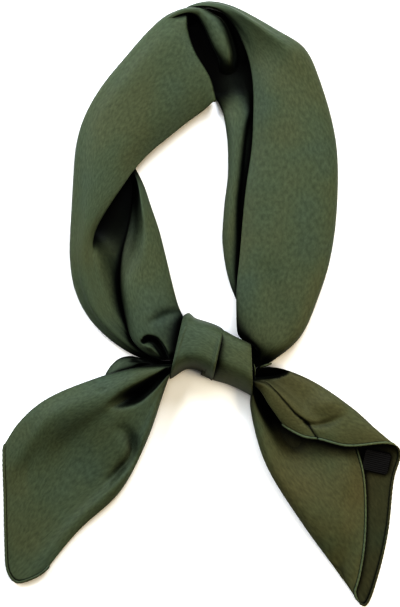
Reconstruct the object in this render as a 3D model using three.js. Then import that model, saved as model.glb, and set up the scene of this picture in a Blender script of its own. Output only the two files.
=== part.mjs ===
// Square satin scarf, 700 mm a side, folded corner to corner into a band, laid in a tall loop and tied once.
// It lies on a flat surface: the loop is the neck, the knot closes it, and the two ends splay out.
// Millimetres. X runs to the right, Y from the ends towards the top of the loop, Z up.
// z = 0 is the surface that it lies on, and the origin is the middle of its outline there.
import * as THREE from "three";

const CLOTH_WALL = 1.2; // folded satin with its air, as a wall
const KNOT_WALL = 1.8; // several plies of cloth pulled tight
const SHOULDER = 6; // how far a band's rounded outer fold reaches in from its edge
const HEM_SWELL = 1.35; // a rolled hem against the cloth beside it
const MIDDLE = { x: -0.44, y: -0.43 }; // the middle of the outline, in the coordinates of the tables below
const LABEL = { width: 18, height: 14, thick: 0.8, corner: 1 };

const SATIN = { color: 0x4c5a3a, roughness: 0.5, metalness: 0 };
const TAG_SATIN = { color: 0x161516, roughness: 0.6, metalness: 0 };

// How finely a sheet is drawn: steps between two neighbouring rows, and between two points of a row.
const BAND_STEPS = { along: 1, across: 2 };
const END_STEPS = { along: 3, across: 2 };

// Left side of the loop, from inside the knot up to the pleat at the top.
// outer and lip are the edges of the top layer in plan; the cloth turns under at the lip, reaches
// back by tuck (a share of the width, less than 0 where it only slopes down) and runs to end.
// top is the height of the top layer at three places from outer to lip; bend moves those places
// sideways where the section isn't straight; base is the share of the width lying underneath.
const LEFT_BAND = [
  { outer: [-17.5, -38.5], lip: [-16.5, -35], end: [-16, -31], top: [6, 6, 5.8], lipZ: 5.4, tuck: -0.3,
    tuckZ: 4.6, endZ: 4, base: 0.5, baseZ: 3.4 },
  { outer: [-29, -39], lip: [-27.5, -35], end: [-25, -30], top: [6.2, 6.2, 6], lipZ: 5.4, tuck: -0.3,
    tuckZ: 4, endZ: 2.6, base: 0.5, baseZ: 1.6 },
  { outer: [-42, -37.5], lip: [-39, -32.5], end: [-34, -27], top: [6.5, 7, 6.5], lipZ: 5.5, tuck: -0.3,
    tuckZ: 3 },
  { outer: [-58.4, -28], lip: [-53, -21.5], end: [-42, -16], top: [9.5, 10.5, 10], lipZ: 8.5, tuck: -0.3,
    tuckZ: 5 },
  { outer: [-76.9, -10.5], lip: [-66.5, -5.5], end: [-46, -3], top: [13, 14.5, 14], lipZ: 12.5,
    tuck: -0.3, tuckZ: 9 },
  { outer: [-87.8, 11], lip: [-75, 13.5], end: [-50, 13], top: [14, 16, 15.5], lipZ: 14, tuck: -0.25,
    tuckZ: 10 },
  { outer: [-91, 34.5], lip: [-77, 37], end: [-50, 32], top: [15, 17, 16.5], lipZ: 15, tuck: 0,
    tuckZ: 10 },
  { outer: [-90.5, 57.5], lip: [-73.8, 50.3], end: [-46.5, 50], top: [16, 18, 17.5], lipZ: 16, tuck: 0.3,
    tuckZ: 7 },
  { outer: [-89, 84.5], lip: [-65.6, 65.6], end: [-46.5, 67], top: [16.5, 18.5, 18], lipZ: 16.5,
    tuck: 0.3, tuckZ: 7 },
  { outer: [-87, 110.5], lip: [-55, 81.5], end: [-52, 86], top: [17, 19, 18], lipZ: 16, tuck: 0.3,
    tuckZ: 7 },
  { outer: [-81, 131], lip: [-45.1, 95.5], end: [-58, 106], top: [17.5, 19.5, 18], lipZ: 14.5, tuck: 0.36,
    tuckZ: 7 },
  { outer: [-68.5, 152.5], lip: [-35.2, 106.1], end: [-44, 119], top: [18, 20, 18], lipZ: 13.5,
    tuck: 0.36, tuckZ: 6.5, base: 0.45 },
  { outer: [-53, 171], lip: [-23.4, 116.7], end: [-31, 131], top: [18, 20, 18], lipZ: 13, tuck: 0.34,
    tuckZ: 6, base: 0.5 },
  { outer: [-37.2, 189], lip: [-9.7, 128], end: [-16, 142], top: [18, 20, 17.5], lipZ: 12.5, tuck: 0.3,
    tuckZ: 6, base: 0.5 },
  { outer: [-21.5, 199.7], lip: [2.2, 136.2], end: [-3, 149], top: [18, 20, 17.5], lipZ: 12, tuck: 0.26,
    tuckZ: 6, base: 0.5, baseZ: 1 },
];

// The pleat at the top of the loop: the top layer drops over a diagonal edge into a deep fold,
// comes up again as one rounded roll and dives under the right side.
// Its sections turn about the inner corner, each with heights at outer, three places and lip.
const PLEAT_UNDER = 4.8; // height of the layer that runs back under the pleat
const PLEAT_BASE = [4, 2.6, 2.2]; // heights of the last three places, under the outer fold
const PLEAT = [
  { outer: [-9, 205], lip: [9.3, 141.4], bend: [-6.2, -5.4, 0.2], rise: [9.5, 18.5, 19.5, 17.5, 12.5] },
  { outer: [-8, 205], lip: [10, 141.8], bend: [-8.5, -7.5, -3], rise: [9, 12, 11, 10, 9] },
  { outer: [-6, 204], lip: [11, 142.5], bend: [-5.5, -4, -1.5], rise: [9, 4.5, 4, 4.5, 7] },
  { outer: [-3, 203.3], lip: [12, 142.5], bend: [0.5, 6, 4], rise: [9.5, 5, 4.5, 5.5, 6.8] },
  { outer: [0.5, 202.5], lip: [13, 142.5], bend: [8, 12, 8], rise: [10, 17.5, 15, 7, 6.6] },
  { outer: [4, 201.5], lip: [14.5, 142.8], bend: [12.5, 14.3, 11], rise: [8.5, 11, 10, 6.5, 6.4] },
  { outer: [9, 200], lip: [17, 143.5], bend: [13.5, 17, 14], rise: [7, 7.5, 7.5, 6.4, 6.4] },
  { outer: [16, 197], lip: [24, 145], bend: [14, 18, 15], rise: [6.4, 7, 7.5, 6.4, 6.4] },
];

// Right side of the loop, from inside the knot up to where it runs out over the pleat.
// It lies on a broad flat base.
const RIGHT_BASE = 0.5;
const RIGHT_BAND = [
  { outer: [30, -43.5], lip: [31, -38], top: [9, 9, 9], lipZ: 9, baseZ: 4.5, base: 0.5 },
  { outer: [39.8, -43.4], lip: [39.8, -38.4], top: [10, 10.5, 10.5], lipZ: 10, baseZ: 2.4, base: 0.5 },
  { outer: [46, -41.8], lip: [38.6, -30.2], top: [12, 13.5, 13.5], lipZ: 12.5 },
  { outer: [61.4, -30.2], lip: [26.4, -21.6], top: [15, 17, 17], lipZ: 15 },
  { outer: [70.6, -19.4], lip: [24.6, -8], top: [16, 18, 17.5], lipZ: 15 },
  { outer: [80, 2.6], lip: [24.6, 13], top: [17, 19, 18], lipZ: 15 },
  { outer: [88.2, 26.7], lip: [26.4, 31], top: [17.5, 19.5, 18.5], lipZ: 15 },
  { outer: [92.9, 53], lip: [28.4, 56], top: [18, 20, 18.5], lipZ: 15 },
  { outer: [94.6, 83.5], lip: [31, 82], top: [18, 20, 19], lipZ: 15 },
  { outer: [93.9, 108], lip: [35, 108], top: [18, 20, 19], lipZ: 15 },
  { outer: [90, 130], lip: [36, 130], top: [18, 20, 19], lipZ: 15 },
  { outer: [82.4, 154.6], lip: [36, 150], top: [18, 20, 19], lipZ: 15 },
  { outer: [72.2, 177.5], lip: [33.6, 167.5], top: [18, 19.5, 18.5], lipZ: 15 },
  { outer: [55.6, 187.8], lip: [28.4, 182.5], top: [17.5, 19, 18], lipZ: 15.5 },
  { outer: [37.7, 198.4], lip: [21.5, 195.5], top: [16.5, 18, 18], lipZ: 16, base: 0.35 },
  { outer: [20.8, 207], lip: [12, 203.5], top: [14, 16.5, 17], lipZ: 16, base: 0.35 },
  { outer: [6, 209.6], lip: [2.5, 205.8], top: [12.5, 14.5, 15], lipZ: 14.5, base: 0.35 },
  { outer: [-3.6, 208.3], lip: [-4, 205.6], top: [10, 11.5, 12], lipZ: 11.5, base: 0.35 },
];

// The layer that shows inside the right side of the loop: edge is its fold at the neck opening,
// hidden its far side under the top layer, crown its height and dip the height of the hidden side.
const RIGHT_STRIP = [
  { edge: [31, -15], hidden: [41, -19], crown: 6, dip: 4.4 },
  { edge: [27.2, -3.5], hidden: [40, -4.5], crown: 6.8, dip: 4.4 },
  { edge: [22.2, 8.5], hidden: [40, 9], crown: 7.8, dip: 4.8 },
  { edge: [17.9, 24.4], hidden: [40, 24], crown: 8.6, dip: 4.8 },
  { edge: [15.3, 45], hidden: [42, 45], crown: 9, dip: 4.5 },
  { edge: [17.2, 73], hidden: [44, 73], crown: 9, dip: 4 },
  { edge: [19.4, 101], hidden: [47, 101], crown: 8.8, dip: 4 },
  { edge: [18.6, 117], hidden: [48, 117], crown: 7.6, dip: 4 },
  { edge: [16.4, 132], hidden: [47, 132], crown: 5.5, dip: 4 },
  { edge: [13, 142], hidden: [45, 145], crown: 3.2, dip: 3 },
  { edge: [14, 158], hidden: [44, 162], crown: 3, dip: 2.8 },
];

// The soft roll inside the left side: it comes out from under the lip and enters the knot.
// left and right are its folds in plan; groove is how deep the curl beside its left fold cuts in.
const LEFT_ROLL = [
  { left: [-53, 96], right: [-48, 97], crown: 7, groove: 0 },
  { left: [-50, 82.5], right: [-40.5, 84], crown: 10, groove: 0 },
  { left: [-50, 66.5], right: [-35, 68], crown: 12, groove: 0 },
  { left: [-50, 52], right: [-29.5, 52], crown: 13, groove: 0 },
  { left: [-54.5, 34], right: [-24.8, 34], crown: 14, groove: 0 },
  { left: [-56.5, 14], right: [-20, 14], crown: 15, groove: 0 },
  { left: [-53, -8.5], right: [-16.2, -2], crown: 16, groove: 0, lift: 4 },
  { left: [-48, -25], right: [-13.9, -9.3], crown: 17, groove: 4, lift: 6.5 },
  { left: [-38, -34.5], right: [-14.4, -15], crown: 18, groove: 9, lift: 7.6 },
  { left: [-27.5, -38.5], right: [-17.5, -17], crown: 18.5, groove: 8, baseZ: 8.4, lift: 8.4 },
  { left: [-17.5, -37.5], right: [-12.5, -20], crown: 18, groove: 5, baseZ: 8.8, lift: 8.8 },
];

// The knot: one broad wrap round both ends, with the top and bottom of each ring in plan.
// The left part laps over the right part at the step.
const KNOT_POINTS = 16; // points round one ring
const KNOT_WAIST = 0.42; // share of the height at which a ring is widest
const KNOT_ROUND = { across: 0.8, up: 0.85 }; // below 1 makes a ring squarer than an oval
const KNOT = [
  { upper: [-8.5, -11], lower: [-17.5, -51], height: 25.5 },
  { upper: [-12, -8.5], lower: [-21.6, -53.6], height: 28.5 },
  { upper: [-5.5, -9.5], lower: [-14, -49.5], height: 31 },
  { upper: [3, -12.5], lower: [-5, -47], height: 32.5 },
  { upper: [9, -14.5], lower: [2, -50.5], height: 33 },
  { upper: [14, -17.5], lower: [7.5, -53.5], height: 33 },
  { upper: [16, -20], lower: [10, -52.5], height: 30.5 },
  { upper: [22, -22.5], lower: [19, -56], height: 31 },
  { upper: [27.5, -25], lower: [28, -60], height: 30 },
  { upper: [31.5, -28], lower: [35.2, -64], height: 28 },
  { upper: [29, -30], lower: [32, -61.5], height: 25 },
];

// Where the cloth of each end bunches up inside the knot, and how far its lines close in on it.
const LEFT_GATHER = [-10, -43, 13];
const RIGHT_GATHER = [22, -50, 12];
const GATHERED = 0.4;

// Left end of the scarf: each row is one line of the cloth from the knot to its hem, and rise is
// its height at mouth, near, middle, far and hem. The rows go round from the hidden back layer over
// the back fold, the crest, the deep fold and the lit rim to the layer turned under.
const LEFT_TAIL = [
  { mouth: [-20, -45.5], near: [-36, -52], middle: [-67, -77], far: [-102, -100], hem: [-131, -138],
    rise: [8, 4, 1, 0.6, 0.6] },
  { mouth: [-20, -43.4], near: [-45.5, -42.5], middle: [-70, -56], far: [-107, -73], hem: [-135.5, -105],
    rise: [8.5, 3, 1.2, 0.8, 0.6] },
  { mouth: [-19.6, -42], near: [-47.5, -40.3], middle: [-71, -52.4], far: [-108.8, -68.2],
    hem: [-139, -97], rise: [12, 9, 7, 5, 2] },
  { mouth: [-19.6, -42.2], near: [-42, -45], middle: [-68.5, -56], far: [-105.5, -73],
    hem: [-139.6, -108], rise: [15.5, 15, 13, 11, 3.5] },
  { mouth: [-19.8, -43], near: [-41.5, -48], middle: [-67.5, -61.5], far: [-104.5, -80],
    hem: [-139.2, -119.5], rise: [17.4, 17.4, 15, 12.5, 3.5] },
  { mouth: [-20, -43.8], near: [-38.5, -52], middle: [-63, -66.4], far: [-101, -89],
    hem: [-138.6, -133.5], rise: [17.4, 17.4, 16, 8, 3.5] },
  { mouth: [-20.2, -45], near: [-37, -57.5], middle: [-58, -70], far: [-95, -98.5], hem: [-138.2, -151],
    rise: [12, 9, 13, 2.6, 3] },
  { mouth: [-20.4, -46.2], near: [-34, -60.6], middle: [-51.5, -74], far: [-88, -109],
    hem: [-137.4, -171], rise: [14, 14.5, 14.5, 3.5, 3] },
  { mouth: [-20.7, -48.2], near: [-28, -58.4], middle: [-41.6, -84], far: [-70, -124],
    hem: [-131.8, -194.6], rise: [14.8, 15, 14, 8.5, 2.6] },
  { mouth: [-20.8, -48.6], near: [-27, -58.5], middle: [-39, -88], far: [-63, -125.6],
    hem: [-121, -192.6], rise: [14.4, 14.5, 13, 10, 3.5] },
  { mouth: [-21, -48.9], near: [-26, -59.5], middle: [-37.6, -92], far: [-58.6, -128],
    hem: [-111, -187.6], rise: [12.6, 12, 10, 8, 3.5] },
  { mouth: [-21, -48.7], near: [-25.5, -59.5], middle: [-37.4, -94], far: [-56.2, -130.4],
    hem: [-106, -182], rise: [9.6, 7.5, 6, 5, 3] },
  { mouth: [-20.8, -48.2], near: [-28, -60], middle: [-42.5, -92.5], far: [-63, -133],
    hem: [-109, -179.5], rise: [7, 3, 1.2, 0.8, 0.6] },
  { mouth: [-20.5, -47], near: [-33.5, -60], middle: [-57, -93], far: [-89, -130], hem: [-121, -167],
    rise: [6.6, 2, 0.6, 0.6, 0.6] },
];

// Right end of the scarf, in the same way: front panel from its hidden edge to the left fold,
// back layer, the fold along the top, the flap over the front and the roll that ends it.
const RIGHT_TAIL = [
  { mouth: [33.4, -49.5], near: [47, -61], middle: [62, -76], far: [86, -92], hem: [108, -98],
    rise: [6, 2, 1.4, 2.6, 4] },
  { mouth: [33.6, -51.5], near: [47, -68], middle: [64, -86], far: [94, -108], hem: [113.5, -119],
    rise: [6.5, 2, 1.6, 6, 5] },
  { mouth: [33.8, -54], near: [42.4, -71], middle: [60, -96], far: [93, -127], hem: [115, -148],
    rise: [8, 7.5, 4.5, 7.5, 4.5] },
  { mouth: [34, -56], near: [41, -73], middle: [56, -107], far: [87, -146], hem: [113.4, -174],
    rise: [11, 10.5, 10, 8, 4] },
  { mouth: [34.3, -55.9], near: [39.5, -72.8], middle: [50, -110], far: [79, -155], hem: [110, -193],
    rise: [10.4, 9, 8.5, 6.5, 3.5] },
  { mouth: [34.3, -56], near: [38.3, -72], middle: [45.8, -109.5], far: [72.8, -154.6],
    hem: [107.6, -203], rise: [8, 5.5, 5, 4, 2.5] },
  { mouth: [34.3, -55.6], near: [39.7, -72.5], middle: [50, -109], far: [77.5, -156], hem: [114.4, -211],
    rise: [5.8, 2, 0.8, 0.6, 0.6] },
  { mouth: [34, -56], near: [44, -71], middle: [64, -104], far: [94, -150], hem: [121.6, -191],
    rise: [4.8, 1.5, 0.6, 0.6, 0.8] },
  { mouth: [34, -55], near: [49, -67], middle: [77, -92], far: [105, -125], hem: [129, -158],
    rise: [5, 2, 0.8, 0.8, 1] },
  { mouth: [33.8, -51], near: [52, -58], middle: [87, -76.5], far: [114, -99], hem: [132.4, -122],
    rise: [6.5, 3, 1.5, 1.2, 1.2] },
  { mouth: [33.4, -47.6], near: [50, -44.4], middle: [76, -52.8], far: [107.6, -74], hem: [138.8, -104],
    rise: [10, 5, 5, 4, 2.6] },
  { mouth: [33.2, -46.9], near: [48, -44.8], middle: [73, -54], far: [102, -74.4], hem: [132.4, -96.6],
    rise: [12, 8, 11, 9, 7] },
  { mouth: [33.4, -49], near: [47, -51], middle: [66, -65], far: [86, -83], hem: [102, -98.6],
    rise: [15, 13, 12, 11, 9] },
  { mouth: [33.6, -51], near: [45, -54], middle: [59.5, -65], far: [72, -78.5], hem: [82, -93.4],
    rise: [17, 17, 16, 14.5, 12] },
  { mouth: [33.8, -53], near: [43.5, -56.5], middle: [53.5, -66.5], far: [62, -78.5], hem: [70.5, -91.6],
    rise: [19.5, 19.5, 18, 16, 14] },
  { mouth: [34, -54.8], near: [40, -59], middle: [46.4, -69], far: [51.4, -76.5], hem: [56, -83],
    rise: [18, 17, 16, 14.5, 12] },
  { mouth: [34, -54], near: [42.5, -60.5], middle: [50.5, -70.5], far: [57, -78], hem: [64, -85],
    rise: [15, 13, 12, 11, 9.5] },
];

// The bare tag sewn in at the right end: its middle, turn and height.
const TAG = { middle: [122.5, -110.2, 2.7], turn: -13, tilt: -1 };

const mix = (a, b, t) => a.map((value, i) => value + (b[i] - value) * t);
const place = ([x, y], z) => new THREE.Vector3(x, y, z);

// The top layer in plan, from outer (0) to lip (1), moved sideways by bend at its three places.
function topLayer({ outer, lip, bend = [0, 0, 0] }) {
  const sideways = new THREE.CatmullRomCurve3([0, ...bend, 0].map((b) => new THREE.Vector3(b, 0, 0)));
  return (t) => {
    const [x, y] = mix(outer, lip, t);
    return [x + (t > 0 && t < 1 ? sideways.getPoint(t).x : 0), y];
  };
}

// The points of a section's outer fold and base, from the shoulder round to the base's inner end.
function outerFold(row, across, shoulder, height) {
  const { base = 0.3, baseZ = CLOTH_WALL / 2 } = row;
  const reach = Math.max(base, shoulder * 1.3);
  return [
    place(across(shoulder), height * 0.86),
    place(across(shoulder * 0.25), height * 0.68),
    place(across(0), (height + baseZ) * 0.42),
    place(across(shoulder * 0.25), baseZ + (height - baseZ) * 0.12),
    place(across(shoulder), baseZ),
    place(across((shoulder + reach) / 2), baseZ),
    place(across(reach), baseZ),
  ];
}

function shoulderOf({ outer, lip }) {
  return Math.min(0.3, SHOULDER / Math.hypot(outer[0] - lip[0], outer[1] - lip[1]));
}

// One section of a side of the loop, from the hidden end under the lip to the base.
function bandSection(row) {
  const { lip, end, top, lipZ, tuck = 0.16, tuckZ = lipZ - 6, endZ = CLOTH_WALL / 2 } = row;
  const across = topLayer(row);
  const shoulder = shoulderOf(row);
  const back = across(1 - tuck);
  const hidden = end ? [place(end, endZ), place(mix(end, back, 0.5), endZ * 0.65 + tuckZ * 0.35)] : [];
  return [
    ...hidden,
    place(back, tuckZ),
    place(mix(lip, back, 0.4), lipZ - (lipZ - tuckZ) * 0.62),
    place(lip, lipZ - 1.6),
    place(across(1 - shoulder * 0.5), lipZ + 0.5),
    ...[0.75, 0.45, 0.15].map((t, i) => place(across(shoulder + (1 - shoulder) * t), top[2 - i])),
    ...outerFold(row, across, shoulder, top[0]),
  ];
}

// One section of the pleat, with as many points as a section of the left side.
function pleatSection(row) {
  const { lip, rise } = row;
  const across = topLayer(row);
  const [outerZ, nearZ, midZ, farZ, lipZ] = rise;
  return [
    place(across(0.92), PLEAT_UNDER),
    place(across(0.96), PLEAT_UNDER),
    place(across(0.985), PLEAT_UNDER + 0.4),
    place(mix(lip, across(0.9), 0.05), lipZ - 0.7),
    place(lip, lipZ),
    place(across(0.93), lipZ * 0.6 + farZ * 0.4),
    place(across(0.75), farZ),
    place(across(0.5), midZ),
    place(across(0.25), nearZ),
    place(across(0.1), nearZ * 0.55 + outerZ * 0.65),
    place(across(0.03), outerZ + 1.5),
    place(across(0), outerZ - 1),
    place(across(0.02), outerZ - 2.6),
    ...[0.06, 0.1, 0.15].map((t, i) => place(across(t), PLEAT_BASE[i])),
  ];
}

// One section of the layer inside the right side, a flat roll that is open on its hidden side.
function stripSection({ edge, hidden, crown, dip, baseZ = CLOTH_WALL / 2 }) {
  const across = (t) => mix(edge, hidden, t);
  const middle = (crown + baseZ) / 2;
  return [
    place(across(0.85), baseZ),
    place(across(0.5), baseZ),
    place(across(0.14), baseZ),
    place(across(0), middle - 0.5),
    place(across(0.1), crown - 1),
    place(across(0.3), crown),
    place(across(0.6), crown * 0.6 + dip * 0.4),
    place(across(0.8), dip),
    place(across(1), dip),
  ];
}

// One section of the soft roll inside the left side, from its tuck round the top to its base.
function rollSection({ left, right, crown, groove, lift = 3.2, baseZ = CLOTH_WALL / 2 }) {
  const across = (t) => mix(left, right, t);
  return [
    place(across(0.3), lift + 1.6),
    place(across(0.12), lift + 0.4),
    place(across(0), lift + (crown - lift) * 0.42),
    place(across(0.1), crown - 2),
    place(across(0.2), crown - 0.7 - groove * 0.9),
    place(across(0.24), crown - groove * 0.35),
    place(across(0.36), crown),
    place(across(0.6), crown),
    place(across(0.86), crown * 0.86 + baseZ * 0.14),
    place(across(1), crown * 0.45 + baseZ * 0.55),
    place(across(0.9), baseZ),
    place(across(0.65), baseZ),
    place(across(0.42), Math.max(baseZ, 0.8)),
  ];
}

// One ring of the knot: a rounded oval that is flat where it rests.
function knotRing({ upper, lower, height }) {
  const middle = mix(upper, lower, 0.5);
  return Array.from({ length: KNOT_POINTS }, (_, i) => {
    const angle = (2 * Math.PI * i) / KNOT_POINTS;
    const side = Math.cos(angle);
    const rise = Math.sin(angle);
    const reach = Math.sign(side) * Math.abs(side) ** KNOT_ROUND.across;
    const half = (rise > 0 ? 1 - KNOT_WAIST : KNOT_WAIST) * height;
    const z = KNOT_WAIST * height + half * Math.sign(rise) * Math.abs(rise) ** KNOT_ROUND.up;
    return place(mix(middle, upper, reach), Math.max(KNOT_WALL / 2, z));
  });
}

// A row of an end of the scarf as points from the gather inside the knot to the hem.
function tailLine({ rise, ...places }, gather) {
  const line = ["mouth", "near", "middle", "far", "hem"].map((name, i) => place(places[name], rise[i]));
  return [line[0].clone().lerp(new THREE.Vector3(...gather), GATHERED), ...line];
}

// An end's lines turned into rows across it, the way that a sheet is built.
function tailRows(table, gather) {
  const lines = table.map((row) => tailLine(row, gather));
  return lines[0].map((_, i) => lines.map((line) => line[i]));
}

// Smooth grid through control rows: each row is splined across, then each column along.
function smoothGrid(rows, closed, steps) {
  const across = (closed ? rows[0].length : rows[0].length - 1) * steps.across;
  const along = (rows.length - 1) * steps.along;
  const fine = rows.map((points) => {
    const curve = new THREE.CatmullRomCurve3(points, closed);
    return Array.from({ length: closed ? across : across + 1 }, (_, i) => curve.getPoint(i / across));
  });
  const columns = fine[0].map((_, j) => new THREE.CatmullRomCurve3(fine.map((row) => row[j])));
  return Array.from({ length: along + 1 }, (_, i) => columns.map((curve) => curve.getPoint(i / along)));
}

// The cloth's normal at each grid point, from its neighbours.
function gridNormals(grid, closed) {
  const rows = grid.length;
  const width = grid[0].length;
  const pick = (i, j) => {
    const row = grid[Math.min(Math.max(i, 0), rows - 1)];
    return closed ? row[(j + width) % width] : row[Math.min(Math.max(j, 0), width - 1)];
  };
  return grid.map((row, i) =>
    row.map((_, j) => {
      const along = pick(i + 1, j).clone().sub(pick(i - 1, j));
      const across = pick(i, j + 1).clone().sub(pick(i, j - 1));
      return along.cross(across).normalize();
    }),
  );
}

// A sheet of cloth as one closed solid: the grid moved half a wall to each side, joined at its rims.
function clothGeometry(rows, { wall = CLOTH_WALL, closed = false, hem = 1, steps = BAND_STEPS } = {}) {
  const grid = smoothGrid(rows, closed, steps);
  const normals = gridNormals(grid, closed);
  const height = grid.length;
  const width = grid[0].length;
  const positions = [];
  for (const side of [0.5, -0.5]) {
    grid.forEach((row, i) => {
      const swell = i === height - 1 ? hem : 1;
      row.forEach((point, j) => {
        const moved = point.clone().addScaledVector(normals[i][j], side * wall * swell);
        positions.push(moved.x, moved.y, Math.max(moved.z, 0));
      });
    });
  }
  const vertex = (side, i, j) => (side * height + i) * width + (closed ? j % width : j);
  const indices = [];
  const quad = (a, b, c, d) => indices.push(a, b, c, a, c, d);
  const lastColumn = closed ? width : width - 1;
  for (let i = 0; i < height - 1; i++) {
    for (let j = 0; j < lastColumn; j++) {
      quad(vertex(0, i, j), vertex(0, i + 1, j), vertex(0, i + 1, j + 1), vertex(0, i, j + 1));
      quad(vertex(1, i, j), vertex(1, i, j + 1), vertex(1, i + 1, j + 1), vertex(1, i + 1, j));
    }
  }
  for (let j = 0; j < lastColumn; j++) {
    quad(vertex(0, 0, j), vertex(0, 0, j + 1), vertex(1, 0, j + 1), vertex(1, 0, j));
    const i = height - 1;
    quad(vertex(0, i, j), vertex(1, i, j), vertex(1, i, j + 1), vertex(0, i, j + 1));
  }
  if (!closed) {
    for (let i = 0; i < height - 1; i++) {
      quad(vertex(0, i, 0), vertex(1, i, 0), vertex(1, i + 1, 0), vertex(0, i + 1, 0));
      const j = width - 1;
      quad(vertex(0, i, j), vertex(0, i + 1, j), vertex(1, i + 1, j), vertex(1, i, j));
    }
  }
  if (signedVolume(positions, indices) < 0) indices.reverse();
  const geometry = new THREE.BufferGeometry();
  geometry.setAttribute("position", new THREE.Float32BufferAttribute(positions, 3));
  geometry.setIndex(indices);
  geometry.computeVertexNormals();
  return geometry;
}

function signedVolume(positions, indices) {
  const corner = (i) => new THREE.Vector3().fromArray(positions, 3 * indices[i]);
  let volume = 0;
  for (let i = 0; i < indices.length; i += 3) {
    volume += corner(i).dot(corner(i + 1).cross(corner(i + 2))) / 6;
  }
  return volume;
}

function clothPiece(name, rows, options) {
  const mesh = new THREE.Mesh(clothGeometry(rows, options), new THREE.MeshStandardMaterial(SATIN));
  mesh.name = name;
  return mesh;
}

// The tag is one flat rectangle of satin ribbon with its corners just broken.
function labelTag() {
  const { width, height, thick, corner } = LABEL;
  const x = width / 2;
  const y = height / 2;
  const outline = new THREE.Shape();
  outline.moveTo(-x + corner, -y).lineTo(x - corner, -y).lineTo(x, -y + corner).lineTo(x, y - corner);
  outline.lineTo(x - corner, y).lineTo(-x + corner, y).lineTo(-x, y - corner).lineTo(-x, -y + corner);
  outline.closePath();
  const geometry = new THREE.ExtrudeGeometry(outline, { depth: thick, bevelEnabled: false });
  const mesh = new THREE.Mesh(geometry, new THREE.MeshStandardMaterial(TAG_SATIN));
  mesh.name = "label_tag";
  mesh.position.set(...TAG.middle);
  mesh.rotation.set(0, THREE.MathUtils.degToRad(TAG.tilt), THREE.MathUtils.degToRad(TAG.turn));
  return mesh;
}

const scarf = new THREE.Group();
scarf.name = "square_scarf";
scarf.add(clothPiece("left_band", [...LEFT_BAND.map(bandSection), ...PLEAT.map(pleatSection)]));
scarf.add(clothPiece("right_band", RIGHT_BAND.map((row) => bandSection({ base: RIGHT_BASE, ...row }))));
scarf.add(clothPiece("right_inner_layer", RIGHT_STRIP.map(stripSection)));
scarf.add(clothPiece("left_inner_roll", LEFT_ROLL.map(rollSection)));
scarf.add(clothPiece("knot_wrap", KNOT.map(knotRing), { wall: KNOT_WALL, closed: true }));
const endCloth = { hem: HEM_SWELL, steps: END_STEPS };
scarf.add(clothPiece("left_tail", tailRows(LEFT_TAIL, LEFT_GATHER), endCloth));
scarf.add(clothPiece("right_tail", tailRows(RIGHT_TAIL, RIGHT_GATHER), endCloth));
scarf.add(labelTag());

scarf.position.set(-MIDDLE.x, -MIDDLE.y, 0);

export default scarf;
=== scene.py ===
import math

import bmesh
import bpy
import mathutils
import numpy as np
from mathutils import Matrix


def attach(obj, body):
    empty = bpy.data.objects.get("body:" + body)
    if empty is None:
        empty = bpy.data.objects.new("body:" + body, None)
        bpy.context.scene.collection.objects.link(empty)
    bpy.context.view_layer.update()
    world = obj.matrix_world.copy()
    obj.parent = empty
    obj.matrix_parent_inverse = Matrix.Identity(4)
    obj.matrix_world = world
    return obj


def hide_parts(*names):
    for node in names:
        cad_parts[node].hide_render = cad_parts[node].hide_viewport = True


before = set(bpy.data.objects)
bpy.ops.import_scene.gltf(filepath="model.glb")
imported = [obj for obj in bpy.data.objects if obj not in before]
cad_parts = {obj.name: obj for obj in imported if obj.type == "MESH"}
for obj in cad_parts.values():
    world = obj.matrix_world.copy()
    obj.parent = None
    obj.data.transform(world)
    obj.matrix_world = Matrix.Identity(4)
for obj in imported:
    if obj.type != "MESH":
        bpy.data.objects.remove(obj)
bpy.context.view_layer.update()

# Left side of the loop
# The folded band of satin from the knot up to the pleat: soft plies with a rounded outer fold and a
# top layer that turns under at its inner edge. Nothing is sewn here, folding alone holds it.
MM = 0.001
MIDDLE = (-0.44, -0.43)  # the middle of the lying outline, in the tables' own millimetres
SHOULDER = 6  # reach of the rounded outer fold
PLY = 0.45  # thickness of one ply of satin
PLY_UNDER = 0.6  # middle height of a ply that lies on the floor

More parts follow.
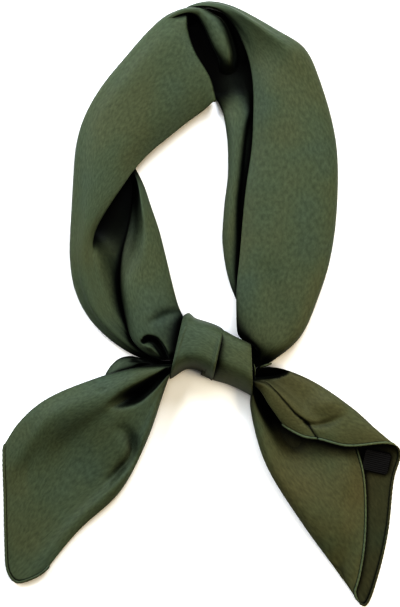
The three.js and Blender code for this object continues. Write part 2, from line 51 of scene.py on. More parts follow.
# outer and lip are the edges of the top layer in plan, top its height at three places between them and
# lip_z its height at the lip. tuck is how far it turns back under the lip, as a share of its width, and
# below 0 where it runs on down into an open valley; tuck_z is the height there. low is the floor under
# the lip, end the ply's hidden end, base and base_z how far the lowest ply reaches in, and its height.
LEFT_BAND = [
    dict(outer=(-17.5, -38.5), lip=(-16.5, -35), end=(-16, -31), top=(6, 6, 5.8), lip_z=5.4, tuck=-0.3,
         tuck_z=4.6, end_z=4, base=0.5, base_z=3.4),
    dict(outer=(-29, -39), lip=(-27.5, -35), end=(-25, -30), top=(6.2, 6.2, 6), lip_z=5.4, tuck=-0.3,
         tuck_z=4, end_z=2.6, base=0.5, base_z=1.6),
    dict(outer=(-42, -37.5), lip=(-39, -32.5), end=(-34, -27), top=(6.5, 7, 6.5), lip_z=5.5, tuck=-0.3,
         tuck_z=3),
    dict(outer=(-58.8, -28.3), lip=(-51.5, -20.5), end=(-40, -14), low=(-45, -17, 3.8), top=(10, 10.2, 9.2),
         lip_z=8.7, tuck=-0.3, tuck_z=7.6),
    dict(outer=(-77.3, -11), lip=(-64, -5.5), end=(-46, -3), low=(-52, -3.6, 4.6), top=(14.5, 14.5, 13),
         lip_z=12.3, tuck=-0.3, tuck_z=10.7),
    dict(outer=(-88.2, 10.5), lip=(-71.5, 13.5), end=(-50, 13), low=(-57, 13, 5), top=(16, 16.2, 14.8),
         lip_z=13.9, tuck=-0.3, tuck_z=11.7),
    dict(outer=(-91.4, 34.5), lip=(-75.4, 37), end=(-50, 32), low=(-61, 33, 3.4), top=(16, 17.4, 16),
         lip_z=15.3, tuck=-0.2, tuck_z=13.7),
    dict(outer=(-90.5, 57.5), lip=(-73.4, 50), end=(-43, 50), low=(-62, 51, 0.9), top=(16, 18, 17.5),
         lip_z=15.4, tuck=0.3, tuck_z=2.6),
    dict(outer=(-89, 84.5), lip=(-65, 65.2), end=(-41.5, 66.5), low=(-58, 67.5, 0.9), top=(16.5, 18.5, 18),
         lip_z=16.5, tuck=0.3, tuck_z=2.4),
    dict(outer=(-87, 110.5), lip=(-54.4, 81), end=(-44, 83.5), low=(-55, 86, 0.9), top=(17, 19, 18), lip_z=16,
         tuck=0.3, tuck_z=3),
    dict(outer=(-81, 131), lip=(-44.6, 95), end=(-50, 100), top=(17.5, 19.5, 18), lip_z=12.8, tuck=0.36,
         tuck_z=7),
    dict(outer=(-68.5, 152.5), lip=(-34.8, 105.6), end=(-44, 119), top=(19, 19.5, 17), lip_z=11, tuck=0.36,
         tuck_z=6.5, base=0.45),
    dict(outer=(-53, 171), lip=(-22.6, 115.7), end=(-31, 131), top=(20.5, 19, 16), lip_z=10.2, tuck=0.34,
         tuck_z=6, base=0.5),
    dict(outer=(-37.2, 189.4), lip=(-8.8, 126.8), end=(-16, 142), top=(20.5, 18.5, 15.5), lip_z=9.8, tuck=0.3,
         tuck_z=6, base=0.5),
    dict(outer=(-22.8, 201.8), lip=(2.8, 135.2), end=(-3, 149), top=(19.5, 18, 15), lip_z=9.6, tuck=0.26,
         tuck_z=6, base=0.5, base_z=1),
]
# The edge over the pleat bends sideways by bend, then the cloth rolls over it and runs back under.
PLEAT_EDGE = dict(outer=(-9, 206.4), lip=(9.3, 141), bend=(-6.2, -5.4, 0.2), rise=(9.5, 17.5, 17.5, 15.5, 12))
# Each row past the edge has its sideways move and its share of the height.
PLEAT_TURN = [(1.1, 0.93), (1.5, 0.8), (1, 0.62), (-1.2, 0.44), (-6, 0.3), (-13, 0.24)]


def mix(a, b, t):
    """The point that lies a share t of the way from a to b."""
    return tuple(x + (y - x) * t for x, y in zip(a, b))


def through(points, count, closed=False):
    """A centripetal Catmull-Rom curve through the points, sampled evenly from point to point."""
    p = np.asarray(points, float)
    spans = len(p) if closed else len(p) - 1
    before = p[-1:] if closed else 2 * p[:1] - p[1:2]
    after = p[:2] if closed else 2 * p[-1:] - p[-2:-1]
    q = np.concatenate([before, p, after])
    at = np.linspace(0, spans, count + 1 if closed else count)[:count]
    i = np.minimum(at.astype(int), spans - 1)
    t = (at - i).reshape((-1,) + (1,) * (p.ndim - 1))
    a, b, c, d = q[i], q[i + 1], q[i + 2], q[i + 3]
    step = [np.sqrt(np.linalg.norm(n - m, axis=-1, keepdims=True)) for m, n in ((a, b), (b, c), (c, d))]
    step[1] = np.where(step[1] < 1e-4, 1, step[1])
    s0, s2 = (np.where(s < 1e-4, step[1], s) for s in (step[0], step[2]))
    s1 = step[1]
    leave = ((b - a) / s0 - (c - a) / (s0 + s1) + (c - b) / s1) * s1
    arrive = ((c - b) / s1 - (d - b) / (s1 + s2) + (d - c) / s2) * s1
    return b + leave * t + (3 * (c - b) - 2 * leave - arrive) * t**2 + (2 * (b - c) + leave + arrive) * t**3


def top_layer(row):
    """The top layer in plan from outer (0) to lip (1), moved sideways by bend at three places."""
    bend = row.get("bend", (0, 0, 0))
    sideways = through([(b, 0, 0) for b in (0, *bend, 0)], 101)[:, 0]

    def across(t):
        x, y = mix(row["outer"], row["lip"], t)
        return x + (float(np.interp(t, np.linspace(0, 1, 101), sideways)) if 0 < t < 1 else 0), y

    return across


def outer_fold(row, across, shoulder, height):
    """The rounded outer fold and the base under it, to the base's inner end."""
    base_z = row.get("base_z", PLY_UNDER)
    reach = max(row.get("base", 0.3), shoulder * 1.3)
    return [
        (*across(shoulder), height * 0.86),
        (*across(shoulder * 0.25), height * 0.68),
        (*across(0), (height + base_z) * 0.42),
        (*across(shoulder * 0.25), base_z + (height - base_z) * 0.12),
        (*across(shoulder), base_z),
        (*across((shoulder + reach) / 2), base_z),
        (*across(reach), base_z),
    ]


def band_section(row):
    """One section of a side of the loop, from its hidden end under the lip round to the base."""
    lip, top, lip_z = row["lip"], row["top"], row["lip_z"]
    tuck, tuck_z = row.get("tuck", 0.16), row.get("tuck_z", row["lip_z"] - 6)
    across = top_layer(row)
    shoulder = min(0.3, row.get("shoulder", SHOULDER) / math.dist(row["outer"], lip))
    back = across(1 - tuck)
    brow = max(1 - shoulder * 0.5, 0.5 + (shoulder + (1 - shoulder) * 0.75) / 2)
    brow_z = lip_z + 0.5 if tuck > 0 else (lip_z + top[2]) / 2
    hidden = []
    if "end" in row:
        end, end_z = row["end"], row.get("end_z", PLY_UNDER)
        hidden = [(*end, end_z), (*mix(end, back, 0.5), end_z * 0.65 + tuck_z * 0.35)]
        if "low" in row:
            hidden[1] = row["low"]
    return [
        *hidden,
        (*back, tuck_z),
        (*mix(lip, back, 0.4), lip_z - (lip_z - tuck_z) * (0.62 if tuck > 0 else 0.3)),
        (*lip, lip_z - (1.6 if tuck > 0 else 0.2)),
        (*across(brow), brow_z),
        *[(*across(shoulder + (1 - shoulder) * t), top[2 - i]) for i, t in enumerate((0.75, 0.45, 0.15))],
        *outer_fold(row, across, shoulder, top[0]),
    ]


def pleat_section(row):
    """The section at the edge over the pleat, with as many points as a section of the band.

    Each place has its share of the way from outer to lip, and its height."""
    outer_z, near_z, mid_z, far_z, lip_z = row["rise"]
    across = top_layer(row)
    places = [
        (0.92, 4.8), (0.96, 4.8), (0.985, 5.2), (0.995, lip_z - 0.7), (1, lip_z),
        (0.93, lip_z * 0.6 + far_z * 0.4), (0.75, far_z), (0.5, mid_z), (0.25, near_z),
        (0.1, near_z * 0.55 + outer_z * 0.65), (0.03, outer_z + 1.5), (0, outer_z - 1),
        (0.02, outer_z - 2.6), (0.06, 4), (0.1, 2.6), (0.15, 2.2),
    ]
    return [(*across(t), z) for t, z in places]


def turned_under(section, move, share):
    """The pleat's edge section carried sideways and down, where the cloth rolls over and runs back."""
    top = max(y for x, y, z in section)
    turned = []
    for x, y, z in section:
        sideways = move * min(1, z / 8) * min(1, max(0, top - y) / 12)
        turned.append((x + sideways, y, z * share if z > 5 else z))
    return turned


def cloth_grid(rows, along, across, closed=False, ease=6):
    """A fine grid through control rows, eased so that no row of the table shows in the sheen."""
    rows = np.asarray(rows, float)
    count, wide = rows.shape[:2]
    columns = wide * across if closed else (wide - 1) * across + 1
    fine = through(rows.transpose(1, 0, 2), columns, closed)
    grid = through(fine.transpose(1, 0, 2), (count - 1) * along + 1)
    for _ in range(ease):
        if closed:
            grid = (np.roll(grid, 1, 1) + 2 * grid + np.roll(grid, -1, 1)) / 4
        else:
            grid[:, 1:-1] = (grid[:, :-2] + 2 * grid[:, 1:-1] + grid[:, 2:]) / 4
        grid[1:-1] = (grid[:-2] + 2 * grid[1:-1] + grid[2:]) / 4
    return grid


def press(grid, line, sharp=2, lowest=0.5):
    """Presses a dent into the upper side of the cloth, or raises a ridge where depth is below 0.

    line holds x, y, half width and depth at each of its points; sharp 2 is a soft dent, 4 a channel."""
    path = through(line, 16 * len(line))
    flat = grid[..., :2].reshape(-1, 1, 2) - path[:, :2]
    gap = np.linalg.norm(flat, axis=-1)
    nearest = gap.argmin(axis=1)
    away = gap.min(axis=1) / np.maximum(path[nearest, 2], 0.2)
    drop = path[nearest, 3] * np.exp(-(away**sharp))
    run = np.gradient(grid, axis=0)
    over = np.gradient(grid, axis=1)
    normal = np.cross(run, over)
    facing = normal[..., 2] / np.maximum(np.linalg.norm(normal, axis=-1), 1e-9)
    upper = np.sign(facing.flat[grid[..., 2].argmax()])
    drop = drop.reshape(facing.shape) * np.clip(facing * upper * 2, 0, 1)
    height = grid[..., 2]
    grid[..., 2] = np.maximum(height - drop, np.minimum(height, lowest))


def finished_piece(name, shape, finish):
    """An object at the origin with the mesh of a shape and its finish."""
    mesh = bpy.data.meshes.new(name)
    shape.to_mesh(mesh)
    shape.free()
    mesh.materials.append(finish)
    piece = bpy.data.objects.new(name, mesh)
    bpy.context.scene.collection.objects.link(piece)
    return piece


def lay_cloth(name, grid, finish, closed=False, ply=PLY, back=(None, 0, 0)):
    """One ply of cloth from its grid, with the weave's own coordinates in millimetres along the cloth.

    back is a second finish and the first and last column that it covers."""
    if closed:
        grid = np.concatenate([grid, grid[:, :1]], axis=1)
    rows, columns = grid.shape[:2]
    over = np.linalg.norm(np.diff(grid, axis=1), axis=-1).mean(axis=0)
    along = np.linalg.norm(np.diff(grid, axis=0), axis=-1).mean(axis=1)
    u = np.concatenate([[0], np.cumsum(over)])
    v = np.concatenate([[0], np.cumsum(along)])
    shape = bmesh.new()
    weave = shape.loops.layers.uv.new("weave")
    bmesh.ops.create_grid(shape, x_segments=columns - 1, y_segments=rows - 1, size=1)
    points = (grid - (*MIDDLE, 0)).reshape(-1, 3) * MM
    for vertex, point in zip(shape.verts, points.tolist()):
        vertex.co = point
    for face in shape.faces:
        face.smooth = True
        for loop in face.loops:
            row, column = divmod(loop.vert.index, columns)
            loop[weave].uv = (u[column], v[row])
        face.material_index = int(back[1] <= column < back[2])
    if closed:
        bmesh.ops.remove_doubles(shape, verts=shape.verts, dist=1e-6)
    cloth = finished_piece(name, shape, finish)
    if back[0]:
        cloth.data.materials.append(back[0])
    wall = cloth.modifiers.new("ply", "SOLIDIFY")
    wall.thickness = ply * MM
    wall.offset = 0
    return cloth


def colour(code):
    """An sRGB hex value as linear red, green, blue and alpha."""
    parts = [int(code[i : i + 2], 16) / 255 for i in (1, 3, 5)]
    return (*[c / 12.92 if c <= 0.04045 else ((c + 0.055) / 1.055) ** 2.4 for c in parts], 1)


def add(tree, kind, links=None, values=None, **settings):
    """Adds a node with its settings, the values of its sockets and what feeds them."""
    made = tree.nodes.new(kind)
    for name, value in settings.items():
        setattr(made, name, value)
    for socket, value in (values or {}).items():
        made.inputs[socket].default_value = value
    for socket, source in (links or {}).items():
        tree.links.new(source, made.inputs[socket])
    return made


OLIVE = "#4a5241"  # the dyed satin
OLIVE_COOL = "#475144"  # where the cooler warp shows more
OLIVE_WARM = "#4d523f"  # where the warmer weft shows more
BAND_TONES = (OLIVE_COOL, OLIVE, OLIVE_WARM)
THREAD = 1.3  # mm between floats; the real 0.1 mm is too fine to show, so it is drawn coarser
FLOAT = 3.4  # mm length of one float of the weave, in the same way
CLOUD = 50  # mm size of the soft clouds in the dye and the press
PAINTED_FOLD_SHADE_REACH = 34  # mm reach of the ambient-occlusion test that paints shade into the folds
RIPPLE = 14  # mm size of the slight ripples of cloth that lies free


def olive_satin(name, turn, tones=BAND_TONES, face=1, painted_shade_below=0):
    """Polyester satin woven in long floats: a smooth face with a broad soft sheen and a fine streaky grain.

    turn is the angle in degrees between the piece and its threads, which run on the bias in the band.
    tones are the colours of its soft clouds. face scales the colour: below 1 for the duller back
    of the satin together with painted shade, above 1 for a painted highlight on a tight roll.
    Its colour carries painted shade: darker in deep folds, and darker still below painted_shade_below mm."""
    finish = bpy.data.materials.new(name)
    finish.use_nodes = True
    tree = finish.node_tree
    tree.nodes.clear()
    cloth = add(tree, "ShaderNodeUVMap", uv_map="weave").outputs["UV"]
    place = add(tree, "ShaderNodeTexCoord").outputs["Object"]
    floats = add(
        tree, "ShaderNodeMapping", {"Vector": cloth},
        {"Rotation": (0, 0, math.radians(turn)), "Scale": (1 / THREAD, 1 / FLOAT, 1)},
    )
    grain = add(tree, "ShaderNodeTexNoise", {"Vector": floats.outputs["Vector"]}, {"Scale": 1, "Detail": 2})
    clouds = add(tree, "ShaderNodeTexNoise", {"Vector": place}, {"Scale": 1 / (CLOUD * MM), "Detail": 2})
    ripples = add(tree, "ShaderNodeTexNoise", {"Vector": place}, {"Scale": 1 / (RIPPLE * MM), "Detail": 1})
    dye = add(tree, "ShaderNodeValToRGB", {"Fac": clouds.outputs["Fac"]})
    dye.color_ramp.elements.new(0.5)
    for stop, at, code in zip(dye.color_ramp.elements, (0.32, 0.5, 0.68), tones):
        stop.position = at
        stop.color = colour(code)
    shade = add(
        tree, "ShaderNodeMapRange", {"Value": grain.outputs["Fac"]},
        {"To Min": 0.62 * face, "To Max": 1.38 * face},
    )
    threads = add(
        tree, "ShaderNodeVectorMath", {0: dye.outputs["Color"], "Scale": shade.outputs["Result"]},
        operation="SCALE",
    )
    # painted shade: the colour is darkened where an ambient-occlusion test finds cloth close around, in folds
    # and creases
    painted_fold_shade_ao = add(tree, "ShaderNodeAmbientOcclusion", values={"Distance": PAINTED_FOLD_SHADE_REACH * MM}, samples=16)
    # folds holds that painted shade, from 0.03 deep in a fold to 1 in the open
    folds = add(
        tree, "ShaderNodeMapRange", {"Value": painted_fold_shade_ao.outputs["AO"]},
        {"From Min": 0.53, "From Max": 1, "To Min": 0.03, "To Max": 1}, interpolation_type="SMOOTHSTEP",
    )
    # painted shade: the colour is darkened where the cloth lies lower over the table than painted_shade_below
    # mm
    height = add(tree, "ShaderNodeSeparateXYZ", {"Vector": place}).outputs["Z"]
    painted_low_shade = add(
        tree, "ShaderNodeMapRange", {"Value": height},
        {"From Min": min(0, painted_shade_below - 3) * MM, "From Max": painted_shade_below * MM, "To Min": 0.1 if painted_shade_below else 1, "To Max": 1},
        interpolation_type="SMOOTHSTEP",
    )
    # the painted shade of the folds and of low places together, multiplied into the colour below
    painted_shade = add(
        tree, "ShaderNodeMath", {0: folds.outputs["Result"], 1: painted_low_shade.outputs["Result"]},
        operation="MULTIPLY",
    )
    depth = add(
        tree, "ShaderNodeVectorMath", {0: threads.outputs["Vector"], "Scale": painted_shade.outputs["Value"]},
        operation="SCALE",
    )
    gloss = add(tree, "ShaderNodeMapRange", {"Value": grain.outputs["Fac"]}, {"To Min": 0.5, "To Max": 0.62})
    ripple = add(
        tree, "ShaderNodeBump", {"Height": ripples.outputs["Fac"]}, {"Strength": 0.25, "Distance": 0.6 * MM}
    )
    weave = add(
        tree, "ShaderNodeBump", {"Height": grain.outputs["Fac"], "Normal": ripple.outputs["Normal"]},
        {"Strength": 0.35, "Distance": 0.1 * MM},
    )
    satin = add(
        tree, "ShaderNodeBsdfPrincipled",
        {
            "Base Color": depth.outputs["Vector"],
            "Roughness": gloss.outputs["Result"],
            "Normal": weave.outputs["Normal"],
        },
        {
            "IOR": 1.5,
            "Specular IOR Level": 0.14,
            "Sheen Weight": 0.08,
            "Sheen Roughness": 0.45,
            "Sheen Tint": colour("#cfdccb"),
        },
    )
    add(tree, "ShaderNodeOutputMaterial", {"Surface": satin.outputs["BSDF"]})
    return finish


def finish_cloth(piece, node):
    """Hangs a sheet of the scarf under the root body and hides the part of the node that it stands for."""
    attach(piece, "root")
    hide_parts(node)


# The band is folded across the square, so its threads run slanting over it.
# painted shade: the band's colour is darkened where it lies under 3.5 mm over the table
BAND_SATIN = olive_satin("olive_satin_on_the_bias", 45, painted_shade_below=3.5)

# The dent beside the top fold. Every dent is a line of x, y, half width and depth.
TOP_FOLD_DENT = [(-27, 192, 1, 0), (-18, 197.6, 1.2, 0.8), (-9.4, 199.8, 1.1, 0.6), (-6, 199, 1, 0)]
edge_section = pleat_section(PLEAT_EDGE)
left_rows = [band_section(row) for row in LEFT_BAND] + [edge_section]
left_rows += [turned_under(edge_section, move, share) for move, share in PLEAT_TURN]
left_grid = cloth_grid(left_rows, along=7, across=7)
press(left_grid, TOP_FOLD_DENT)
left_side = lay_cloth("left_band_cloth", left_grid, BAND_SATIN)
finish_cloth(left_side, "left_band")


def table(columns, *rows):
    """The rows of a table as dicts under the names of its columns; the last one may be left out."""
    return [dict(zip(columns.split(), row)) for row in rows]


# The pleat at the top of the loop: the same ply comes up again out of the deep fold as one rounded
# roll, dives under the right side, and runs down as a narrow strip to the corner of the neck opening.

# left, ridge and right are places across the roll with their heights, start is where the fold's floor
# ends under the left side, run how far the roll's foot runs on past its right edge, foot its height.
TOP_PLEAT = table(
    "start left ridge right run foot",
    ((-25, 190, 10), (-26.4, 194.4, 13.5), (-27, 195.4, 13.5), (-27.4, 196, 10), -1.5, 9),
    ((-15.6, 194, 10), (-17.4, 199.4, 16.2), (-17.9, 201.2, 16.6), (-18.7, 202.8, 11.5), -2, 9),
    ((-9.6, 196, 9), (-9.8, 201.6, 16.6), (-10.5, 203.6, 17.4), (-11.4, 205.4, 11), -2, 9),
    ((-8, 196, 5), (-5.4, 201.2, 16.5), (-5.6, 203.8, 18), (-5.9, 206, 11), -1, 9),
    ((-12, 192, 2), (-2.4, 199.4, 14), (-0.6, 202.8, 17.5), (1.4, 205.2, 13), 1, 8),
    ((-17, 190, 1.2), (-0.6, 196.8, 13.4), (3.4, 199.8, 17.5), (7.7, 202, 13.5), 4, 5),
    ((-20, 185, 1), (1.5, 193.1, 12.8), (8, 195.4, 17.5), (14, 198, 13), 7, 5),
    ((-20, 178, 1), (4.6, 186.2, 12), (12.8, 188.4, 17), (19, 190, 12), 8, 5),
    ((-18, 173, 1), (7.4, 179.8, 11.4), (16.4, 180.8, 16.6), (22, 180.8, 11), 8, 4),
    ((-15, 169, 0.8), (10, 174.6, 9.8), (18.4, 174.6, 15.6), (23.6, 174.4, 9.5), 8, 2.6),
    ((-12, 166, 0.7), (12.2, 170.4, 6.4), (19, 169.6, 13.4), (23.6, 170, 7), 8, 1.4),
    ((-8, 163, 0.5), (12.8, 167.4, 2.6), (19.4, 166.4, 9.6), (23.8, 167, 3.6), 7, 0.8),
    ((-4, 160, 0.4), (12.8, 164.2, 1), (19.2, 163.2, 3.4), (23.6, 164, 1.6), 7, 0.5),
    ((0, 156, 0.3), (12.8, 161, 0.3), (18.8, 160, 0.5), (23.2, 161, 0.3), 7, 0.3),
    ((0, 153, 0.3), (12.8, 157.6, 0.3), (18.6, 156.6, 0.3), (23, 157.6, 0.3), 6, 0.3),
)


def pleat_line(row):
    """One line across the pleat, from under the left side to its foot under the right side."""
    start, left, ridge, right = (np.array(row[name], float) for name in ("start", "left", "ridge", "right"))
    run, floor = row["run"], row["start"][2]
    over = right - left
    width = math.hypot(over[0], over[1])
    over = over * (1, 1, 0) / width
    under = over * min(4, width * 0.25)
    at_floor = left * (1, 1, 0) + (0, 0, floor)
    return [
        start,
        (start + at_floor) / 2,
        at_floor,
        at_floor + under + (0, 0, (left[2] - floor) * 0.25),
        at_floor + under * 0.4 + (0, 0, (left[2] - floor) * 0.6),
        left,
        left * (0.7, 0.7, 0.35) + ridge * (0.3, 0.3, 0.65),
        ridge,
        ridge * (0.4, 0.4, 0.55) + right * (0.6, 0.6, 0.45),
        right - over * width * 0.04,
        right * (1, 1, 0.6) + over * min(0.3, run) + (0, 0, row["foot"] * 0.4),
        right * (1, 1, 0) + over * run * 0.25 + (0, 0, row["foot"]),
        right * (1, 1, 0) + over * run + (0, 0, row["foot"] * 0.8),
    ]


top_grid = cloth_grid([pleat_line(row) for row in TOP_PLEAT], along=9, across=9, ease=5)
top_pleat = lay_cloth("top_pleat_cloth", top_grid, BAND_SATIN)
finish_cloth(top_pleat, "left_band")

# Right side of the loop
# The other side of the same band, broader and lying flat: it runs from inside the knot up over the
# pleat, where its narrow end lies on top. Its inner edge is a soft fold that stands over the layer below.
RIGHT_BAND = [
    dict(outer=(30, -43.5), lip=(31, -38), top=(9, 9, 9), lip_z=9, base_z=4.5, base=0.5),
    dict(outer=(39.8, -43.4), lip=(39.8, -38.4), top=(10, 10.5, 10.5), lip_z=10, base_z=2.4, base=0.5),
    dict(outer=(46, -41.8), lip=(38.2, -30.6), top=(12, 13.5, 13.5), lip_z=12.5),
    dict(outer=(53.5, -36.8), lip=(32.4, -26), top=(15, 16, 16), lip_z=13.5, shoulder=3.5),
    dict(outer=(61.8, -30.5), lip=(26, -22.4), top=(17, 17.4, 17), lip_z=13.5, shoulder=3.5),
    dict(outer=(71.2, -20), lip=(24.6, -8), top=(18, 18.2, 17.5), lip_z=14.5, shoulder=3.5),
    dict(outer=(80.6, 2.2), lip=(24.6, 13), top=(18, 19, 18), lip_z=15, shoulder=4.5),
    dict(outer=(88.8, 26.5), lip=(26.4, 31), top=(17.5, 19.5, 18.5), lip_z=15),
    dict(outer=(93.4, 53), lip=(28.4, 56), top=(18, 20, 18.5), lip_z=14.5),
    dict(outer=(95.2, 83.5), lip=(31, 82), top=(18, 20, 19), lip_z=14.5),
    dict(outer=(94.5, 108), lip=(35, 108), top=(18, 20, 19), lip_z=14),
    dict(outer=(90.5, 130), lip=(36, 130), top=(18, 20, 19), lip_z=14),
    dict(outer=(82.8, 155), lip=(36, 150), top=(19, 20, 18), lip_z=13.5),
    dict(outer=(72.4, 178), lip=(33.6, 167.5), top=(23.5, 20, 15.5), lip_z=11.8),
    dict(outer=(56, 188.3), lip=(28.4, 182.5), top=(24, 20, 15.5), lip_z=12.2),
    dict(outer=(38, 199), lip=(21.5, 195.5), top=(22, 19, 16), lip_z=13.4, base=0.35),
    dict(outer=(21, 207.8), lip=(12, 204), top=(16, 16.5, 16), lip_z=15, base=0.35),
    dict(outer=(6, 211), lip=(2.5, 206.2), top=(13, 14.5, 15), lip_z=14.5, base=0.35),
    dict(outer=(-4.2, 209.2), lip=(-4, 206.3), top=(11, 11.5, 12), lip_z=12, base=0.35),
    dict(outer=(-10, 206.9), lip=(-9.4, 205.6), top=(9, 9.4, 10), lip_z=10, base=0.35),
]
RIGHT_DENTS = [
    [(41, 33, 5, 0), (46, 20, 7, 1.4), (51, 2, 7, 1.6), (57, -18, 6, 1.2), (60, -30, 4, 0)],
    [(45, 150, 10, 0), (52, 120, 12, 0.9), (50, 80, 12, 0.5), (44, 50, 9, 0)],
]
right_grid = cloth_grid([band_section({"base": 0.5, **row}) for row in RIGHT_BAND], along=7, across=7)
for dent in RIGHT_DENTS:
    press(right_grid, dent)
right_side = lay_cloth("right_band_cloth", right_grid, BAND_SATIN)
finish_cloth(right_side, "right_band")

# Layer inside the right side of the loop
# The inner plies of the band, where they show at the neck opening: a flat roll with a second crease,
# which drops into the dark gap under the upper fold and runs out under the pleat.

# edge is its fold at the neck opening, crease the second crease, hidden its far side under the band.
INNER_LAYER = table(
    "edge crease hidden crown trough",
    ((31, -40), 34, (41, -41), 8, 6),
    ((28.8, -29), 34, (43, -30), 4, 2.6),
    ((28.6, -20), 34, (44, -22), 3.6, 2.4),
    ((27.6, -10), 34, (44, -11), 6, 4),
    ((25.4, 1), 33, (41, 0), 7.6, 5),
    ((21.4, 11), 28, (41, 10), 8.4, 5.5),
    ((17.6, 24.4), 25, (40, 24), 9.2, 7),
    ((14.9, 44.8), 24.2, (42, 45), 9.8, 7.3),
    ((15.6, 58.8), 23.6, (43, 59), 10.2, 7.4),
    ((16.8, 72.8), 24, (44, 73), 10.4, 7.4),
    ((18.7, 86.8), 25.4, (45, 87), 10.4, 7.4),
    ((19, 100.8), 26.6, (47, 101), 10.4, 7.2),
    ((18.4, 114.8), 28, (48, 115), 10, 7),
    ((17, 125), 30, (48, 126), 9.2, 6.6),
    ((15.6, 132.3), 33, (47, 134), 7.8, 5.6),
    ((13.6, 137.6), 33, (46, 140), 5.8, 3.8),
    ((11, 143), 32, (45, 144.5), 3.6, 2.6),
    ((8, 148), 30, (45, 149), 1.4, 1.2),
    ((5, 153), 28, (45, 154), 0.8, 0.7),
    ((2, 160), 26, (45, 162), 0.7, 0.7),
    ((0, 177), 24, (46, 180), 0.7, 0.7),
)


def inner_section(row):
    """One section of the inner layer, open on its hidden side."""

    def across(t):
        return mix(row["edge"], row["hidden"], t)

    crown, trough = row["crown"], row["trough"]
    width = row["hidden"][0] - row["edge"][0]
    at = (row["crease"] - row["edge"][0]) / width
    past = at + 2.2 / width
    return [
        (*across(0.85), PLY_UNDER),
        (*across(0.5), PLY_UNDER),
        (*across(0.14), PLY_UNDER),
        (*across(0), crown * 0.45),
        (*across(at * 0.3), crown - 1),
        (*across(at * 0.65), crown),
        (*across(at), crown - 0.3),
        (*across(past), crown * 0.5 + trough * 0.5),
        (*across(past + 2.2 / width), trough),
        (*across(1), trough),
    ]


inner_grid = cloth_grid([inner_section(row) for row in INNER_LAYER], along=9, across=8, ease=4)
inner_layer = lay_cloth("right_inner_cloth", inner_grid, BAND_SATIN)
finish_cloth(inner_layer, "right_inner_layer")

# Inner roll at the left side
# The lower plies of the left side, gathered into one soft roll that comes out from under the lip and
# goes into the knot. Its corner curls over on itself there and leaves a dark crescent.

# crown is its height, lift how far its left edge stands off the floor, and soft is above 0 where that
# edge slopes away instead of rounding over.
LEFT_ROLL = [
    dict(left=(-51.5, 96), right=(-47.4, 97), crown=4, soft=1, lift=0.7),
    dict(left=(-48, 82.5), right=(-40.5, 84), crown=8, soft=1, lift=0.7),
    dict(left=(-49, 66.5), right=(-35, 68), crown=10.5, soft=1.1, lift=0.8),
    dict(left=(-51.4, 52), right=(-29.5, 52), crown=12, soft=1.1, lift=1),
    dict(left=(-55.5, 34), right=(-24.8, 34), crown=14, soft=0.7, lift=2),
    dict(left=(-56.5, 14), right=(-20, 14), crown=15),
    dict(left=(-53, -8.5), right=(-15.6, -2), crown=16, lift=4),
    dict(left=(-48, -25), right=(-12.4, -9), crown=17, lift=6.5),
    dict(left=(-38, -34.5), right=(-10.5, -16), crown=18, lift=7.6),
    dict(left=(-27.5, -38.5), right=(-10.5, -22), crown=18.5, base_z=8.4, lift=8.4),
    dict(left=(-17.5, -37.5), right=(-8.5, -26), crown=18, base_z=8.8, lift=8.8),
]
ROLL_DENTS = [
    [(-38, -14, 2, 0), (-32, -11.4, 3.4, 1.2), (-25, -8.2, 4, 1.9), (-16, -5.4, 3.4, 0.8)],
    [(-45, 40, 4, 0), (-42, 20, 5, 0.8), (-38, 2, 4, 0.5), (-34, -8, 3, 0)],
]
CURL_GROOVE = [
    (-39.5, -26, 1.6, 3), (-36.3, -24.2, 2, 9), (-31.8, -25.6, 2.2, 11), (-27.6, -30.5, 2.2, 11),
    (-24.6, -36.2, 1.9, 9), (-22.3, -41.5, 1.6, 6),
]
CURL_TONGUE = [
    (-39.5, -28.2, 1.2, 0), (-36.6, -29.4, 1.7, -3), (-33, -31.6, 1.6, -2.4), (-28.6, -36.2, 1.5, -1.6),
    (-25.5, -40, 1.2, 0),
]


def roll_section(row):
    """One section of the roll, from its tuck round the top to its base."""

    def across(t):
        return mix(row["left"], row["right"], t)

    crown, lift, base_z = row["crown"], row.get("lift", 3.2), row.get("base_z", PLY_UNDER)
    soft = row.get("soft", 0)
    return [
        (*across(0.3), lift + 1.6),
        (*across(0.12), lift + 0.4),
        (*across(0), lift + (crown - lift) * 0.42 * max(0, 1 - 0.7 * soft)),
        (*across(0.1 + 0.1 * soft), max(lift, (crown - 2) * (1 - 0.5 * soft))),
        (*across(0.24 + 0.16 * soft), (crown - 0.4) * (1 - 0.2 * soft)),
        (*across(0.42 + 0.14 * soft), crown),
        (*across(0.68 + 0.04 * soft), crown * 0.88),
        (*across(0.86), crown * 0.7 + base_z * 0.2),
        (*across(1), crown * 0.38 + base_z * 0.55),
        (*across(0.9), base_z),
        (*across(0.65), base_z),
        (*across(0.42), max(base_z, 0.8)),
    ]


roll_grid = cloth_grid([roll_section(row) for row in LEFT_ROLL], along=12, across=9, ease=5)
for dent in ROLL_DENTS:
    press(roll_grid, dent)
press(roll_grid, CURL_GROOVE, sharp=4, lowest=5)
press(roll_grid, CURL_TONGUE)
inner_roll = lay_cloth("left_inner_roll_cloth", roll_grid, BAND_SATIN)
finish_cloth(inner_roll, "left_inner_roll")

# The knot
# One broad wrap of the folded band round both ends, pulled tight. Its left part laps over its right
# part, and each edge of the lap is a fold, turned under.

# The wrap in profile: place across it from the ends' side (-1) to the loop's side (1), share of its height.
KNOT_PROFILE = [
    (1, 0.42), (0.97, 0.6), (0.88, 0.78), (0.7, 0.9), (0.42, 0.96), (0.12, 0.985), (-0.14, 1),
    (-0.32, 0.995), (-0.48, 0.955), (-0.62, 0.86), (-0.75, 0.69), (-0.88, 0.42), (-0.97, 0.16),
    (-0.9, 0.03), (-0.5, 0), (0, 0), (0.5, 0), (0.84, 0.06), (0.97, 0.22),
]
KNOT_BACK = 0.8  # height of the wrap's lowest ply
